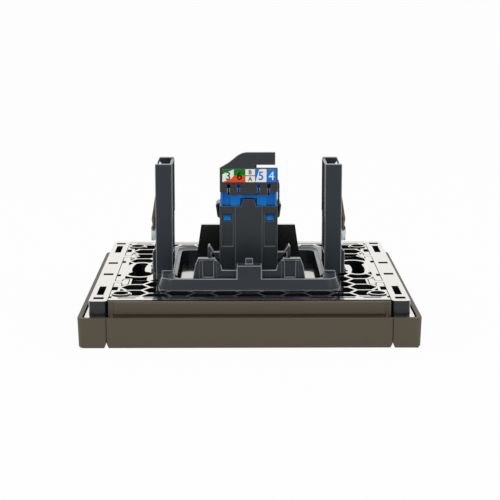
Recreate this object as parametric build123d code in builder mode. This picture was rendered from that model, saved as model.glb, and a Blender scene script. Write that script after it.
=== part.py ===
from build123d import *
import math
import os

os.makedirs("parts", exist_ok=True)

# The socket lies on its front face. +Z points out of the back towards the wall box,
# +Y is up when it is mounted. The origin is the centre of the front face. Millimetres.

# Cover frame
frame_side = 85.0
frame_height = 7.65
frame_inset = 0.25
frame_wall = 1.2
frame_corner = 1.6
front_skin = 1.8
side_strip = 7.2
end_bar = 2.4
groove_width = 1.1
groove_depth = 1.4
joint_line_width = 0.18
joint_line_depth = 0.3
bridge_rib_x = (11.6, 22.7)
bridge_rib_width = 0.8
bridge_rib_height = 5.4
seat_rib_y = 30.0
seat_rib_width = 1.4
seat_rib_reach = 2.6

# Face plate
plate_gap = 0.1
plate_skin = 2.0
skirt_wall = 1.25
skirt_top = 11.25
skirt_step = 1.5
skirt_step_depth = 0.25
skirt_edge_radius = 0.45
spacer_x = 28.0
spacer_y = 32.0
spacer_radius = 2.0
shadow_gap = (7.0, 8.05, 0.5)
window_width = 13.0
window_height = 10.4
window_bevel = 0.5
port_y = -0.5

# Support plate
plate_bottom = 6.4
plate_back = 11.38
flange_thickness = 1.1
pocket_floor = 8.0
plate_edge_gap = 0.45
aperture_x = 21.0
aperture_y = 27.0
aperture_corner = 3.0
fit_gap = 0.15
cell_flats = 6.0
cell_rib = 0.8
corner_hole_inset = (2.65, 6.8)
corner_hole_radius = 1.9
corner_boss_radius = 2.75
corner_rim_height = 0.25
screw_circle = 30.0
keyhole_entry_radius = 3.25
keyhole_width = 3.5
keyhole_entry_angle = 14.0
keyhole_end_angle = 11.0
keyhole_wall = 1.1
edge_slot_inset = 2.3
edge_slot_width = 0.8
edge_slots = ((30.65, 4.5), (20.6, 11.6), (0.0, 22.0))
edge_notches = ((25.2, 4.0, 1.4), (8.9, 2.6, 0.9), (35.2, 1.9, 0.6))

# Side rails
rail_inset = 0.05
rail_width = 4.55
rail_end_gap = 0.2
rail_joint = 0.2
rail_corner = 1.1
rail_slot_inset = 2.35
rail_wide_slot_y = 7.5
rail_end_slot_inset = 3.6
rail_wide_slot = (2.6, 2.2)
rail_tall_slot_inset = 12.2
rail_tall_slot = (1.75, 9.9)
rail_core = (2.2, 12.0)
rail_core_y = 14.5
rail_core_depth = 2.2
tongue_thickness = 1.5
tongue_length = 2.2
tongue_joint = 0.25
tongue_neck = 2.1
tongue_y = 17.2
tongue_head_near = 1.5
tongue_head_length = 6.4

# Mechanism frame
ring_half_x = 23.4
ring_half_y = 28.0
ring_corner = 4.0
ring_step = 0.8
beam_height = 2.85
beam_draft_inset = 1.05
beam_slope_y = (8.0, 15.0)
lip_inner_x = 19.05
lip_inner_y = 25.9
lip_far_y = 24.9
lip_corner = 2.4
lip_step_x = 20.05
lip_step_far_y = 27.2
lip_step_near_y = -12.5
lip_step_depth = 0.45
ledge_reach = 1.2
hook_drop = 1.1
snap_hook_x = 12.0
tower_inner = 20.35
tower_outer = 24.85
tower_near = 7.0
tower_far = 6.5
tower_wall = 1.4
tower_top = 41.0
tower_far_top = 41.3
tower_far_chamfer = (0.6, 1.3)
cheek_outer = 25.8
cheek_top = 18.2
cheek_slope = 1.0
cheek_y = (4.8, 1.6)
web_proud = 0.15
web_wall = 0.8
web_step_z = 26.7
web_window_z = 15.0
foot_outer = 26.0
foot_half_y = 3.6
foot_flange = 0.4
latch_x = 10.5
latch_y = 24.0
latch_wall = 1.9
latch_base_width = 8.6
latch_outer = (14.8, 13.87, 13.1)
latch_inner = (6.15, 7.15, 8.8)
latch_shoulder = 17.3
latch_top = 19.15
latch_recess = (5.0, 4.5, 0.5)
latch_recess_z = 16.35
latch_rib = 0.8
latch_rib_x = 1.85
hook_x = 10.15
hook_y = 20.4
hook_width = 0.9
hook_depth = 3.0
hook_top = 22.0
hook_barb = 20.1
hook_barb_reach = 1.25
centre_block_half = 3.15
centre_block_depth = 2.0
centre_block_top = 17.6
centre_stub_half = 0.95
centre_stub_top = 19.1
cross_rib_top = 13.5
bridge_top = 16.1
bridge_thickness = 1.0

# Port carrier
floor_top = 8.5
floor_thickness = 1.2
carrier_gap = 0.15
hood_near = 12.0
hood_far = 24.4
hood_top = 21.4
hood_top_width = 26.3
hood_base_width = 30.4
hood_wall = 1.2
hood_roof = 1.4

# Claw, nut and screw
screw_x = 22.9
screw_radius = 1.5
screw_gap = 0.08
screw_top = 29.0
screw_head_radius = 2.6
screw_head_height = 1.9
screw_slot = (0.8, 0.9)
nut_bottom = 19.8
nut_height = 3.4
nut_inner = 21.3
nut_outer = 26.3
nut_half_y = 3.4
nut_saddle_x = 25.45
nut_saddle_radius = 0.75
claw_thickness = 0.7
claw_half_y = 4.4
claw_foot_x = 25.4
claw_foot_rise = 0.3
claw_foot_radius = 0.6
claw_bulge_x = 26.05
claw_bulge_z = 25.8
claw_shoulder_x = 24.9
claw_shoulder_z = 32.9
claw_neck_x = 24.2
claw_neck_z = 36.6
claw_tip_x = 25.1
claw_tip_z = 38.2
tooth_pitch = 1.76
tooth_depth = 0.8

# Jack
jack_half_x = 7.7
jack_near = 9.0
jack_far = 8.0
jack_bottom = 3.5
jack_top = 30.1
panel_half = 3.55
panel_proud = 0.5
tongue_top_z = 32.0
tongue_top_width = 2.8
tongue_base_width = 3.9
channel_x = 5.65
channel_width = 3.0
channel_depth = 0.5
channel_bottom = 19.2
jack_window = (2.25, 1.8)
jack_window_x = 5.72
jack_window_z = 26.9
ledge_tip = 9.65
ledge_z = (15.8, 17.55)
ledge_length = 2.4
ear_tip = 8.85
ear_z = (26.2, 30.0)
ear_wall = 0.55
ear_recess = 1.4
arm_x = (7.95, 8.35)
arm_top = 35.5
arm_half_y = 3.0
port_width = 11.9
port_height = 8.2
port_depth = 13.5
latch_slot = (6.2, 1.5)
latch_key = (3.4, 1.1)
chamber_wall = 1.3
chamber_bottom = 17.6

# Comb, contacts and board
wire_radius = 0.22
wire_nose_drop = 2.3
contact_pitch = 1.02
contact_count = 8
comb_thickness = 2.0
comb_width = 10.6
comb_bottom = 6.6
board_bottom = 20.4
board_thickness = 1.0
board_gap = 0.2
blade_x = (2.65, 5.35)
blade_y = 4.7
blade_width = 1.3
blade_thickness = 0.4
blade_top = 34.4
blade_slot = 0.35

# Contact block and cap
block_half_x = 7.5
block_near = 8.6
block_far = 7.6
block_top = 36.2
block_bottom = 22.6
block_core = (6.4, 5.2)
wire_slot_width = 0.9
wire_slot_depth = 3.3
block_step_z = 32.95
block_centre_half = 4.6
block_column = (5.8, 2.3, 0.9)
wedge_gap = 0.15
cap_half_x = 7.65
cap_near = 9.8
cap_far = 8.8
cap_wall = 1.1
cap_floor = (36.3, 37.5)
cap_finger_bottom = 33.3
cap_outer_finger_rise = 0.7
cap_label_top = 40.4
cap_fin_rise = 4.1
cap_fin_right = 7.0
cap_fin_curve = ((-0.2, 0.0), (-2.6, 0.65), (-5.0, 2.5))
cap_arm_gap = 0.8
cap_arm_left = 2.1
cap_notch = (0.9, 0.7)
cap_far_bottom = 30.9
cap_slot_width = 0.8
cap_slot_height = 3.0
cap_slot_eye = (0.52, 0.85)
label_thickness = 0.15
label_left = -6.95
label_right = 7.3
label_near_z = (36.65, 40.1)
label_far_z = (34.0, 37.4)

# Shutter and spring
shutter_gap = 0.15
shutter_thickness = 1.0
shutter_half_x = 7.5
shutter_near = -6.9
shutter_far = 6.2
shutter_tab_half = 4.4
shutter_tab_far = 10.0
shutter_post_wall = 1.0
shutter_post_top = 6.1
rail_lip = 0.8
guide_wall = 1.2
guide_near = -8.0
guide_far = 19.0
guide_lip_near = 9.2
spring_stop_y = 25.4
spring_stop_wall = 1.4
spring_z = 4.75
spring_radius = 1.3
spring_wire = 0.22
spring_turns = 7

# Places worked out from the sizes above
frame_half = frame_side / 2
groove_x = frame_half - side_strip
opening_y = frame_half - end_bar
plate_half_x = groove_x - plate_gap
plate_half_y = opening_y - plate_gap
frame_inner = frame_half - frame_wall
rail_inner = groove_x - rail_inset
rail_outer = rail_inner + rail_width
rail_half_length = plate_half_y - rail_end_gap
rail_slot_x = rail_inner + rail_slot_inset
rail_wide_slots = (rail_wide_slot_y, rail_half_length - rail_end_slot_inset)
rail_tall_slot_y = rail_half_length - rail_tall_slot_inset
support_half_x = rail_inner - rail_joint
support_half_y = plate_half_y - skirt_wall - plate_edge_gap
corner_hole_x = support_half_x - corner_hole_inset[0]
corner_hole_y = support_half_y - corner_hole_inset[1]
edge_slot_y = support_half_y - edge_slot_inset
frame_taper = math.degrees(math.atan(frame_inset / frame_height))
sides = ((-1, "left"), (1, "right"))
cell_radius = cell_flats / math.sqrt(3)
lattice_radius = (cell_flats + cell_rib) / math.sqrt(3)
cell_pitch_x = 1.5 * lattice_radius
cell_pitch_y = cell_flats + cell_rib
port_near = port_y - port_height / 2
port_far = port_y + port_height / 2
nut_top = nut_bottom + nut_height
claw_foot_z = nut_top + claw_foot_rise
cap_fin_top = cap_label_top + cap_fin_rise
cap_arm_bottom = cap_label_top + cap_arm_gap
shutter_bottom = plate_skin + shutter_gap
shutter_top = shutter_bottom + shutter_thickness
board_top = board_bottom + board_thickness
ring_top = plate_back + ring_step
lip_mid = (lip_far_y - lip_inner_y) / 2
comb_near = port_far + 0.5
comb_far = comb_near + comb_thickness
contact_xs = [(i - (contact_count - 1) / 2) * contact_pitch for i in range(contact_count)]


# Cover frame: a drafted square tray with an opening for the face plate. The grooves
# beside the face plate run on through both end bars.
with BuildPart() as cover_frame:
    with BuildSketch():
        RectangleRounded(frame_side - 2 * frame_inset, frame_side - 2 * frame_inset, frame_corner)
    extrude(amount=frame_height, taper=-frame_taper)
    front_edges = cover_frame.faces().sort_by(Axis.Z)[0].edges()
    chamfer(front_edges, 0.35)
    with BuildSketch(Plane.XY.offset(front_skin)):
        RectangleRounded(2 * frame_inner, 2 * frame_inner, frame_corner / 2)
    extrude(amount=frame_height, mode=Mode.SUBTRACT)
    with BuildSketch():
        Rectangle(2 * (groove_x + plate_gap), 2 * opening_y)
    extrude(amount=front_skin, mode=Mode.SUBTRACT)
    with BuildSketch(Plane.XZ):
        with Locations((groove_x, 0), (-groove_x, 0)):
            Polygon((-groove_width / 2, 0), (groove_width / 2, 0), (0, groove_depth), align=None)
    extrude(amount=frame_side, both=True, mode=Mode.SUBTRACT)
    with BuildSketch(Plane.XY.offset(groove_depth / 2)):
        with GridLocations(2 * groove_x, 2 * frame_half, 2, 2):
            Rectangle(joint_line_width, 2 * (joint_line_depth + frame_inset))
    extrude(amount=frame_height, mode=Mode.SUBTRACT)
    with BuildSketch(Plane.XY.offset(front_skin)):
        for rib_x in bridge_rib_x:
            for end in (-1, 1):
                rib_y = end * (plate_half_y + frame_inner) / 2
                with Locations((rib_x, rib_y), (-rib_x, rib_y)):
                    Rectangle(bridge_rib_width, frame_inner - plate_half_y - plate_gap)
    extrude(amount=bridge_rib_height)
    with BuildSketch(Plane.XY.offset(front_skin)):
        with GridLocations(2 * frame_inner - seat_rib_reach, seat_rib_y, 2, 3):
            Rectangle(seat_rib_reach, seat_rib_width)
    extrude(amount=plate_bottom - front_skin)
cover_frame.part.label = "cover_frame"
export_step(cover_frame.part, "parts/cover_frame.step")


# Face plate: a flat plate with a skirt at the near and far end, the port window,
# the guides of the shutter and the stop of its spring.
with BuildPart() as face_plate:
    with BuildSketch():
        Rectangle(2 * plate_half_x, 2 * plate_half_y)
    extrude(amount=plate_skin)
    with BuildSketch(Plane.XY.offset(plate_skin)):
        with GridLocations(0, 2 * plate_half_y - skirt_wall, 1, 2):
            Rectangle(2 * plate_half_x - 0.4, skirt_wall)
    extrude(amount=skirt_top - plate_skin)
    skirt_tops = face_plate.faces().filter_by(Axis.Z).sort_by(Axis.Z)[-2:]
    outer_edges = skirt_tops.edges().filter_by(Axis.X).filter_by(
        lambda edge: abs(edge.center().Y) > plate_half_y - skirt_wall / 2)
    fillet(outer_edges, skirt_edge_radius)
    with BuildSketch(Plane.XY.offset(front_skin + bridge_rib_height)):
        with GridLocations(2 * plate_half_x - skirt_step - 0.4, 2 * plate_half_y, 2, 2):
            Rectangle(skirt_step, 2 * skirt_step_depth)
    extrude(amount=skirt_top, mode=Mode.SUBTRACT)
    with BuildSketch(Plane.XY.offset(shadow_gap[0])):
        with GridLocations(0, 2 * plate_half_y, 1, 2):
            Rectangle(2 * plate_half_x - 2 * skirt_step, 2 * shadow_gap[2])
    extrude(amount=shadow_gap[1] - shadow_gap[0], mode=Mode.SUBTRACT)
    with BuildSketch(Plane.XZ):
        with Locations((groove_x, 0), (-groove_x, 0)):
            Polygon((-groove_width / 2, 0), (groove_width / 2, 0), (0, groove_depth), align=None)
    extrude(amount=frame_side, both=True, mode=Mode.SUBTRACT)
    with BuildSketch(Plane.XY.offset(plate_skin)):
        with GridLocations(2 * spacer_x, 2 * spacer_y, 2, 2):
            Circle(spacer_radius)
    extrude(amount=plate_bottom - plate_skin)
    with BuildSketch():
        with Locations((0, port_y)):
            Rectangle(window_width, window_height)
    extrude(amount=plate_skin, mode=Mode.SUBTRACT)
    window_rim = face_plate.edges().group_by(Axis.Z)[0].filter_by(
        lambda edge: abs(edge.center().X) < window_width / 2 + 0.1 and abs(edge.center().Y) < window_height)
    chamfer(window_rim, window_bevel)
    with BuildSketch(Plane.XY.offset(plate_skin)):
        with Locations((0, (guide_near + guide_far) / 2)):
            with GridLocations(2 * (shutter_half_x + shutter_gap) + guide_wall, 0, 2, 1):
                Rectangle(guide_wall, guide_far - guide_near)
    extrude(amount=jack_bottom - plate_skin - 0.1)
    with BuildSketch(Plane.XY.offset(shutter_top + shutter_gap)):
        with Locations((0, (guide_lip_near + guide_far) / 2)):
            with GridLocations(2 * (shutter_half_x + shutter_gap) + guide_wall - rail_lip, 0, 2, 1):
                Rectangle(guide_wall + rail_lip, guide_far - guide_lip_near)
    extrude(amount=rail_lip)
    with BuildSketch(Plane.XY.offset(plate_skin)):
        with Locations((0, spring_stop_y + spring_stop_wall / 2)):
            Rectangle(2 * shutter_tab_half, spring_stop_wall)
    extrude(amount=shutter_post_top - plate_skin)
face_plate.part.label = "face_plate"
export_step(face_plate.part, "parts/face_plate.step")


# Dust shutter: a thin slide behind the window, with finger grooves and a post that
# pushes the spring.
with BuildPart() as dust_shutter:
    with BuildSketch(Plane.XY.offset(shutter_bottom)):
        with Locations((0, (shutter_near + shutter_far) / 2)):
            Rectangle(2 * shutter_half_x, shutter_far - shutter_near)
        with Locations((0, (shutter_far + shutter_tab_far) / 2)):
            Rectangle(2 * shutter_tab_half, shutter_tab_far - shutter_far)
    extrude(amount=shutter_thickness)
    with BuildSketch(Plane.XY.offset(shutter_top)):
        with Locations((0, shutter_tab_far - shutter_post_wall / 2)):
            Rectangle(2 * spring_radius + 1.4, shutter_post_wall)
    extrude(amount=shutter_post_top - shutter_top)
    with BuildSketch(Plane.XY.offset(shutter_bottom)):
        with Locations((0, port_y)):
            with GridLocations(0, 1.6, 1, 3):
                SlotOverall(7.0, 0.7)
    extrude(amount=0.3, mode=Mode.SUBTRACT)
dust_shutter.part.label = "dust_shutter"
export_step(dust_shutter.part, "parts/dust_shutter.step")


# Shutter spring: a compression spring along Y between the post and the stop.
spring_start = shutter_tab_far + spring_wire + 0.05
spring_end = spring_stop_y - spring_wire - 0.05
spring_length = spring_end - spring_start
with BuildPart() as shutter_spring:
    with BuildLine() as coil:
        Helix(spring_length / spring_turns, spring_length, spring_radius,
              center=(0, spring_start, spring_z), direction=(0, 1, 0))
    with BuildSketch(Plane(origin=coil.line @ 0, z_dir=coil.line % 0)):
        Circle(spring_wire)
    sweep(path=coil.line, is_frenet=True)
shutter_spring.part.label = "shutter_spring"
export_step(shutter_spring.part, "parts/shutter_spring.step")


def keyhole(turn, grow=0.0):
    """Face of one curved keyhole slot: an arc about the plate's centre and a round entry."""
    with BuildSketch(mode=Mode.PRIVATE) as face:
        with BuildLine(mode=Mode.PRIVATE) as path:
            CenterArc((0, 0), screw_circle, turn - keyhole_end_angle, keyhole_end_angle + keyhole_entry_angle)
        SlotArc(path.edge(), keyhole_width + 2 * grow)
        with PolarLocations(screw_circle, 1, turn + keyhole_entry_angle):
            Circle(keyhole_entry_radius + grow)
    return face.sketch


def tongue_outline(side, grow=0.0):
    """Outline of the two keyed tongues of one side rail, seen from the back."""
    root = side * (rail_inner + 0.01)
    neck = side * (rail_inner - tongue_length)
    tip = side * (rail_inner - tongue_length - tongue_head_near)
    with BuildSketch(mode=Mode.PRIVATE) as face:
        with Locations(((root + neck) / 2, -tongue_y), ((root + neck) / 2, tongue_y)):
            Rectangle(abs(root - neck) + 0.02, tongue_neck + 2 * grow)
        with Locations(((neck + tip) / 2, -tongue_y)):
            RectangleRounded(tongue_head_near + 2 * grow, tongue_head_length + 2 * grow, 0.6)
        half = tongue_head_length / 2 + 3 * grow
        with Locations((0, tongue_y)):
            Polygon(
                (neck + side * grow, -half),
                (neck + side * grow, half),
                (tip - side * grow, 0),
                align=None)
    return face.sketch


# Support plate: a thin flange inside the cover frame, and on it the thick ribbed plate
# with honeycomb pockets, two curved keyholes, corner holes and edge slots.
with BuildPart() as support_plate:
    with BuildSketch(Plane.XY.offset(plate_bottom)):
        RectangleRounded(2 * (frame_inner - plate_edge_gap), 2 * (frame_inner - plate_edge_gap), 1.0)
        with GridLocations(0, 2 * (support_half_y + frame_half), 1, 2):
            Rectangle(2 * (plate_half_x + plate_edge_gap), 2 * frame_half, mode=Mode.SUBTRACT)
    extrude(amount=flange_thickness)
    with BuildSketch(Plane.XY.offset(plate_bottom)):
        Rectangle(2 * support_half_x, 2 * support_half_y)
    extrude(amount=plate_back - plate_bottom)
    with BuildSketch(Plane.XY.offset(pocket_floor)):
        columns = int(support_half_x / cell_pitch_x) + 1
        rows = int(support_half_y / cell_pitch_y) + 1
        cells = [
            (column * cell_pitch_x, (row + 0.5 * (column % 2)) * cell_pitch_y)
            for column in range(-columns, columns + 1)
            for row in range(-rows, rows + 1)
        ]
        with Locations(*cells):
            RegularPolygon(cell_radius, 6)
        Rectangle(2 * (support_half_x - 1.9), 2 * (edge_slot_y - 1.1), mode=Mode.INTERSECT)
        Rectangle(2 * (ring_half_x + 0.5), 2 * (ring_half_y + 0.4), mode=Mode.SUBTRACT)
        with GridLocations(2 * corner_hole_x, 2 * corner_hole_y, 2, 2):
            Circle(corner_boss_radius, mode=Mode.SUBTRACT)
        for turn in (0, 180):
            with PolarLocations(screw_circle, 1, turn + keyhole_entry_angle - 2):
                Ellipse(8.2, 9.6, mode=Mode.SUBTRACT)
            add(keyhole(turn, keyhole_wall), mode=Mode.SUBTRACT)
        for side, name in sides:
            add(tongue_outline(side, 0.8), mode=Mode.SUBTRACT)
        for notch_y, notch_length, notch_width in edge_notches:
            with GridLocations(2 * support_half_x, 2 * notch_y, 2, 2):
                Rectangle(2 * notch_width + 1.4, notch_length + 1.4, mode=Mode.SUBTRACT)
    extrude(amount=plate_back - pocket_floor, mode=Mode.SUBTRACT)
    # Crescent pockets around the round entries
    with BuildSketch(Plane.XY.offset(pocket_floor)):
        for turn in (0, 180):
            with PolarLocations(screw_circle, 1, turn + keyhole_entry_angle):
                Circle(keyhole_entry_radius + 5.2)
        Rectangle(2 * (support_half_x - 2.2), 2 * 15.8, mode=Mode.INTERSECT)
        Rectangle(2 * (foot_outer + 0.9), 2 * 40.0, mode=Mode.SUBTRACT)
        for turn in (0, 180):
            add(keyhole(turn, keyhole_wall), mode=Mode.SUBTRACT)
            with PolarLocations(screw_circle, 1, turn - 4):
                Rectangle(12.0, 19.0, mode=Mode.SUBTRACT)
        for side, name in sides:
            add(tongue_outline(side, 0.8), mode=Mode.SUBTRACT)
        for notch_y, notch_length, notch_width in edge_notches:
            with GridLocations(2 * support_half_x, 2 * notch_y, 2, 2):
                Rectangle(2 * notch_width + 1.4, notch_length + 1.4, mode=Mode.SUBTRACT)
    extrude(amount=plate_back - pocket_floor, mode=Mode.SUBTRACT)
    # Raised rims of the corner holes, then everything that goes right through
    with BuildSketch(Plane.XY.offset(plate_back)):
        with GridLocations(2 * corner_hole_x, 2 * corner_hole_y, 2, 2):
            Circle(corner_hole_radius + 0.55)
    extrude(amount=corner_rim_height)
    with BuildSketch(Plane.XY.offset(plate_bottom)):
        RectangleRounded(2 * aperture_x, 2 * aperture_y, aperture_corner)
        Rectangle(2 * (foot_outer + fit_gap), 2 * (foot_half_y + fit_gap))
        with GridLocations(2 * corner_hole_x, 2 * corner_hole_y, 2, 2):
            Circle(corner_hole_radius)
        for turn in (0, 180):
            add(keyhole(turn))
        for slot_x, slot_length in edge_slots:
            with GridLocations(2 * slot_x, 2 * edge_slot_y, 1 if slot_x == 0 else 2, 2):
                Rectangle(slot_length, edge_slot_width)
        for notch_y, notch_length, notch_width in edge_notches:
            with GridLocations(2 * support_half_x, 2 * notch_y, 2, 2):
                Rectangle(2 * notch_width, notch_length)
    extrude(amount=plate_back + corner_rim_height - plate_bottom, mode=Mode.SUBTRACT)
    with BuildSketch(Plane.XY.offset(plate_back - tongue_thickness - fit_gap)):
        for side, name in sides:
            add(tongue_outline(side, tongue_joint))
    extrude(amount=tongue_thickness + fit_gap, mode=Mode.SUBTRACT)
support_plate.part.label = "support_plate"
export_step(support_plate.part, "parts/support_plate.step")


# Side rails: strips beside the support plate, keyed to it by a T tongue and an arrow
# tongue, with through slots and cored from the front.
for side, name in sides:
    rail_bottom = plate_bottom + flange_thickness
    with BuildPart() as side_rail:
        with BuildSketch(Plane.XY.offset(rail_bottom)):
            with Locations((side * (rail_inner + rail_outer) / 2, 0)):
                RectangleRounded(rail_outer - rail_inner, 2 * rail_half_length, rail_corner)
        extrude(amount=plate_back - rail_bottom)
        with BuildSketch(Plane.XY.offset(plate_back - tongue_thickness)):
            add(tongue_outline(side))
        extrude(amount=tongue_thickness)
        with BuildSketch(Plane.XY.offset(rail_bottom)):
            for slot_y in rail_wide_slots:
                with Locations((side * rail_slot_x, slot_y), (side * rail_slot_x, -slot_y)):
                    Rectangle(*rail_wide_slot)
            with Locations((side * rail_slot_x, rail_tall_slot_y), (side * rail_slot_x, -rail_tall_slot_y)):
                Rectangle(*rail_tall_slot)
        extrude(amount=plate_back - rail_bottom, mode=Mode.SUBTRACT)
        with BuildSketch(Plane.XY.offset(rail_bottom)):
            with Locations((side * rail_slot_x, rail_core_y), (side * rail_slot_x, -rail_core_y)):
                Rectangle(*rail_core)
        extrude(amount=rail_core_depth, mode=Mode.SUBTRACT)
    side_rail.part.label = "side_rail_" + name
    export_step(side_rail.part, "parts/side_rail_" + name + ".step")


# Mechanism frame: a ring over the aperture of the support plate, a raised beam at the
# near end, two channel towers for the claws, and the latches and hooks of the jack.
with BuildPart() as mechanism_frame:
    beam_taper = math.degrees(math.atan(beam_draft_inset / beam_height))
    with BuildSketch(Plane.XY.offset(plate_back)):
        RectangleRounded(2 * ring_half_x, 2 * ring_half_y, ring_corner)
    extrude(amount=beam_height, taper=beam_taper)
    # The beam is high only at the near end and slopes down to the ring beside it
    with BuildSketch(Plane.YZ):
        with BuildLine():
            Polyline(
                (-ring_half_y + beam_slope_y[0], plate_back + beam_height + 1.0),
                (-ring_half_y + beam_slope_y[0], plate_back + beam_height),
                (-ring_half_y + beam_slope_y[1], ring_top),
                (ring_half_y + 1.0, ring_top),
                (ring_half_y + 1.0, plate_back + beam_height + 1.0),
                close=True)
        make_face()
    extrude(amount=ring_half_x + 1.0, both=True, mode=Mode.SUBTRACT)
    with BuildSketch(Plane.XY.offset(plate_back)):
        Rectangle(2 * (foot_outer + foot_flange), 2 * (foot_half_y + foot_flange))
    extrude(amount=ring_step)
    with BuildSketch(Plane.XY.offset(plate_bottom)):
        RectangleRounded(2 * (aperture_x - fit_gap), 2 * (aperture_y - fit_gap), aperture_corner - fit_gap)
        Rectangle(2 * foot_outer, 2 * foot_half_y)
    extrude(amount=plate_back - plate_bottom)
    with BuildSketch(Plane.XY.offset(floor_top - floor_thickness)):
        with Locations((0, lip_mid)):
            RectangleRounded(2 * lip_inner_x, lip_inner_y + lip_far_y, lip_corner)
    extrude(amount=plate_back + beam_height, mode=Mode.SUBTRACT)
    with BuildSketch(Plane.XY.offset(plate_bottom)):
        with Locations((0, lip_mid)):
            RectangleRounded(
                2 * (lip_inner_x - ledge_reach), lip_inner_y + lip_far_y - 2 * ledge_reach, lip_corner)
    extrude(amount=floor_top, mode=Mode.SUBTRACT)
    # A shallow step around the inner edge, behind the beam
    with BuildSketch(Plane.XY.offset(ring_top - lip_step_depth)):
        RectangleRounded(2 * lip_step_x, 2 * lip_step_far_y, lip_corner + lip_step_x - lip_inner_x)
        with Locations((0, lip_step_near_y)):
            Rectangle(
                4 * lip_step_x, 2 * lip_step_far_y, align=(Align.CENTER, Align.MIN), mode=Mode.INTERSECT)
    extrude(amount=beam_height, mode=Mode.SUBTRACT)
    # Snap hooks under the support plate
    with BuildSketch(Plane.YZ, mode=Mode.PRIVATE) as hook_profile:
        for end in (-1, 1):
            with Locations((end * (aperture_y - fit_gap), plate_bottom)):
                Polygon((-end * 1.2, 0.3), (0, 0.3), (0, -0.05), (end * 0.9, -0.05), (0, -hook_drop),
                        (-end * 1.2, -hook_drop), align=None)
    for snap_x in (-snap_hook_x, snap_hook_x):
        extrude(hook_profile.sketch.moved(Location((snap_x, 0, 0))), amount=2.0, both=True)
    # Towers: near and far walls with a web on the inner side
    for side, name in sides:
        tower_mid = side * (tower_inner + tower_outer) / 2
        with BuildSketch(Plane.XY.offset(plate_back)):
            with Locations(
                    (tower_mid, -tower_near + tower_wall / 2), (tower_mid, tower_far - tower_wall / 2)):
                Rectangle(tower_outer - tower_inner, tower_wall)
        extrude(amount=tower_top - plate_back)
        with BuildSketch(Plane.XZ.offset(-tower_far)):
            with BuildLine():
                Polyline(
                    (side * tower_inner, tower_top - 1.0),
                    (side * tower_inner, tower_far_top),
                    (side * (tower_outer - tower_far_chamfer[0]), tower_far_top),
                    (side * tower_outer, tower_far_top - tower_far_chamfer[1]),
                    (side * tower_outer, tower_top - 1.0 - tower_far_chamfer[1]),
                    close=True)
            make_face()
        extrude(amount=tower_wall)
        with BuildSketch(Plane.XZ.offset(-tower_far - 0.1)):
            Polygon(
                (side * (tower_outer - tower_far_chamfer[0]), tower_far_top),
                (side * tower_outer, tower_far_top - tower_far_chamfer[1]),
                (side * (tower_outer + 1.0), tower_far_top + 1.0),
                align=None)
        extrude(amount=tower_wall + 0.2, mode=Mode.SUBTRACT)
        # Cheeks with rounded tops beside the path of the lug
        with BuildSketch(Plane.XZ.offset(cheek_y[0])) as cheek_near:
            with BuildLine():
                Polyline(
                    (side * (tower_outer - tower_wall), plate_back),
                    (side * cheek_outer, plate_back),
                    (side * cheek_outer, cheek_top - cheek_slope),
                    (side * (tower_outer + 0.2), cheek_top),
                    (side * (tower_outer - tower_wall), cheek_top),
                    close=True)
            make_face()
        extrude(amount=cheek_y[1])
        extrude(cheek_near.sketch.moved(Location((0, 2 * cheek_y[0], 0))), amount=-cheek_y[1])
        web_length = tower_near + tower_far - tower_wall
        web_y = (tower_far - tower_near) / 2
        with BuildSketch(Plane.XY.offset(web_step_z)):
            with Locations((side * (tower_inner - web_proud + web_wall / 2), web_y)):
                Rectangle(web_wall, web_length)
        extrude(amount=tower_top - web_step_z)
        with BuildSketch(Plane.XY.offset(plate_back)):
            with Locations((side * (tower_inner + web_wall / 2), web_y)):
                Rectangle(web_wall, web_length)
        extrude(amount=web_step_z - plate_back)
        # The window in the lower web
        with BuildSketch(Plane.YZ.offset(tower_mid)):
            with Locations((web_y, (web_window_z + web_step_z) / 2)):
                Rectangle(web_length - tower_wall - 3.2, web_step_z - web_window_z - 3.0)
        extrude(amount=-side * 3.5, mode=Mode.SUBTRACT)
        # Hole and counterbore of the claw screw through the foot
        with Locations((side * screw_x, 0, plate_bottom)):
            Cylinder(screw_radius + screw_gap, 20.0, mode=Mode.SUBTRACT)
        with Locations((side * screw_x, 0, plate_bottom)):
            Cylinder(screw_head_radius + 0.2, 2 * (screw_head_height - 0.3), mode=Mode.SUBTRACT)
        # Notch near the top of the far wall
        with BuildSketch(Plane.XZ.offset(-tower_far - 0.1)):
            with Locations((side * tower_outer, tower_top - 0.5)):
                Polygon((-side * 0.3, -1.7), (-side * 1.7, -1.7), (-side * 0.6, -0.35), align=None)
        extrude(amount=tower_wall + 0.3, mode=Mode.SUBTRACT)
        # Latch pad with sloping shoulders and a ribbed recess
        with BuildSketch(Plane.XZ.offset(latch_y - latch_wall / 2)):
            Polygon(
                (side * latch_outer[0], plate_back + 0.4),
                (side * latch_outer[1], latch_shoulder),
                (side * latch_outer[2], latch_top),
                (side * latch_inner[2], latch_top),
                (side * latch_inner[1], latch_shoulder),
                (side * latch_inner[0], plate_back + 0.4),
                align=None)
        extrude(amount=latch_wall)
        with BuildSketch(Plane.XZ.offset(latch_y + latch_wall / 2)):
            with Locations((side * latch_x, latch_recess_z)):
                RectangleRounded(latch_recess[0], latch_recess[1], 0.4)
        extrude(amount=-latch_recess[2], mode=Mode.SUBTRACT)
        with BuildSketch(Plane.XZ.offset(latch_y + latch_wall / 2 - latch_recess[2])):
            with Locations((side * latch_x, latch_recess_z)):
                with GridLocations(2 * latch_rib_x, 0, 2, 1):
                    Rectangle(latch_rib, latch_recess[1])
        extrude(amount=latch_recess[2] + 0.1)
        # Foot that joins the latch and the hook to the beam
        with BuildSketch(Plane.XY.offset(plate_back - 1.6)):
            with Locations((side * latch_x, (-lip_inner_y - hook_y + hook_depth / 2) / 2)):
                Rectangle(latch_base_width, lip_inner_y - hook_y + hook_depth / 2 + 0.4)
        extrude(amount=2.0)
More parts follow.
